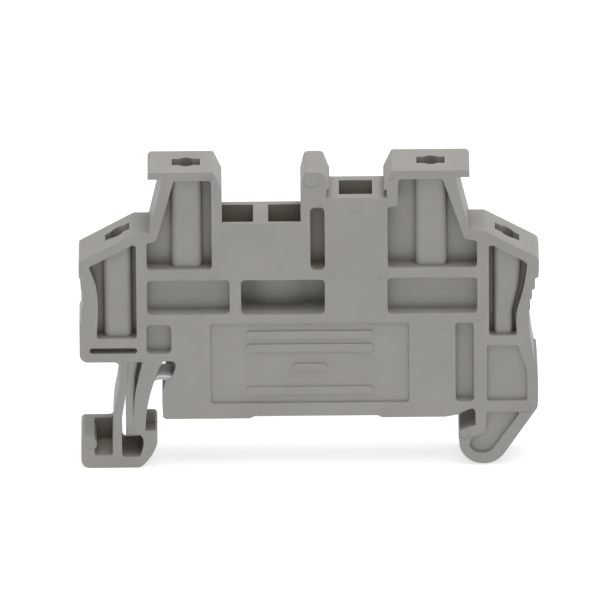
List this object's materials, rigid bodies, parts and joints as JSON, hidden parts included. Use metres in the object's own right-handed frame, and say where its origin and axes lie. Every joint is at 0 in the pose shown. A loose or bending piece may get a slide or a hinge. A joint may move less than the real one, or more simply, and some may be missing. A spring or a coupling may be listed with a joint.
{
  "type": "rail end bracket",
  "caption": "Thin moulded end bracket that clips on a 35 mm mounting rail, with marker towers, bridge sockets, a fixed claw and a sprung latch foot.",
  "frame": {"origin": "on the rail's centre line, at the level of the two seat pads and half way through the bracket's thickness", "axes": "+X across the rail towards the fixed claw, +Y along the rail (the thickness; the label is on -Y), +Z away from the rail towards the marker towers"},
  "size_m": [0.0487, 0.0052, 0.035],
  "materials": {
    "grey_polyamide": "fine eroded mould texture, satin",
    "thin_polyamide": "thin moulded film, slightly translucent"
  },
  "bodies": {
    "bracket": {"left_marker_tower": "grey_polyamide", "right_marker_tower": "grey_polyamide", "left_marker_step": "grey_polyamide", "right_marker_step": "grey_polyamide", "left_tower_slot_boss": "grey_polyamide", "right_tower_slot_boss": "grey_polyamide", "left_step_slot_boss": "grey_polyamide", "right_step_slot_boss": "grey_polyamide", "twin_bridge_socket": "grey_polyamide", "single_bridge_socket": "grey_polyamide", "centre_post": "grey_polyamide", "rib_frame": "grey_polyamide", "lower_body": "grey_polyamide", "label_panel": "grey_polyamide", "label_bars": "grey_polyamide", "left_seat_pad": "grey_polyamide", "right_seat_pad": "grey_polyamide", "right_shoulder": "grey_polyamide", "fixed_claw": "grey_polyamide", "latch_anchor": "grey_polyamide", "outer_leg": "grey_polyamide", "inner_leg": "grey_polyamide", "leg_film": "thin_polyamide", "leg_strut": "thin_polyamide"},
    "latch": {"latch_foot": "grey_polyamide", "latch_hook": "grey_polyamide"}
  },
  "joints": [
    {"name": "latch_flex", "type": "slide", "parent": "bracket", "child": "latch", "axis": [-1, 0, 0], "range_m": [0, 0.0014], "stiffness_N_per_m": 15000, "deforming": ["outer_leg", "inner_leg", "leg_film", "leg_strut"]}
  ]
}
